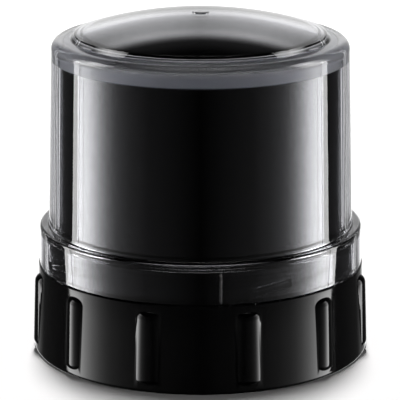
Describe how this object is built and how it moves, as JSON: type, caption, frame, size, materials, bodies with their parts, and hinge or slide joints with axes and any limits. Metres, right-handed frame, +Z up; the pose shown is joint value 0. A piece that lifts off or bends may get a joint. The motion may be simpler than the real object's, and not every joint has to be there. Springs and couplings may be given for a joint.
{
  "type": "mini food chopper",
  "caption": "Small blade chopper: clear domed jar over an opaque inner bowl, standing upside down on a ribbed black base that carries stacked blades and a motor socket.",
  "frame": {"origin": "centre of the base's bottom rim, on the surface that the chopper stands on", "axes": "+Z up along the axis of the jar and the blades; -Y towards the front, where the camera stood; +X to the camera's right"},
  "size_m": [0.1058, 0.1058, 0.1064],
  "materials": {
    "collar_black": "gloss",
    "carrier_black": "satin",
    "cover_black": "fine satin",
    "bowl_black": "gloss",
    "jar_clear": "clear polished",
    "blade_steel": "ground",
    "shaft_steel": "turned",
    "housing_steel": "turned",
    "fastener_steel": "plated",
    "bearing_bronze": "sintered",
    "black_rubber": "matt",
    "white_silicone": "satin",
    "white_nylon": "satin"
  },
  "bodies": {
    "base": {"grip_collar": "collar_black", "blade_carrier": "carrier_black", "base_cover": "cover_black", "cover_screws": "fastener_steel", "bearing_housing": "housing_steel", "housing_gasket": "black_rubber", "housing_nut": "fastener_steel", "lower_bearing": "bearing_bronze", "upper_bearing": "bearing_bronze", "shaft_seal": "black_rubber", "seal_retainer": "housing_steel"},
    "rotor": {"drive_shaft": "shaft_steel", "retaining_ring": "fastener_steel", "lower_thrust_washer": "white_nylon", "upper_thrust_washer": "white_nylon", "drive_coupling": "black_rubber", "coupling_pin": "fastener_steel", "lower_blade": "blade_steel", "blade_spacer": "housing_steel", "upper_blade": "blade_steel", "blade_washer": "fastener_steel", "blade_nut": "fastener_steel"},
    "seal": {"jar_seal": "white_silicone"},
    "jar": {"jar_shell": "jar_clear", "inner_bowl": "bowl_black", "bowl_ring": "bowl_black"}
  },
  "joints": [
    {"name": "blade_spin", "type": "hinge", "parent": "base", "child": "rotor", "pos_m": [0, 0, 0.03], "axis": [0, 0, 1], "continuous": true},
    {"name": "jar_lift", "type": "slide", "parent": "base", "child": "seal", "axis": [0, 0, 1], "range_m": [0, 0.045]},
    {"name": "jar_twist", "type": "hinge", "parent": "seal", "child": "jar", "pos_m": [0, 0, 0.0345], "axis": [0, 0, 1], "range_deg": [0, 360]}
  ],
  "couplings": [
    {"joint": "jar_lift", "follows": "jar_twist", "m_per_rad": 0.007162}
  ]
}
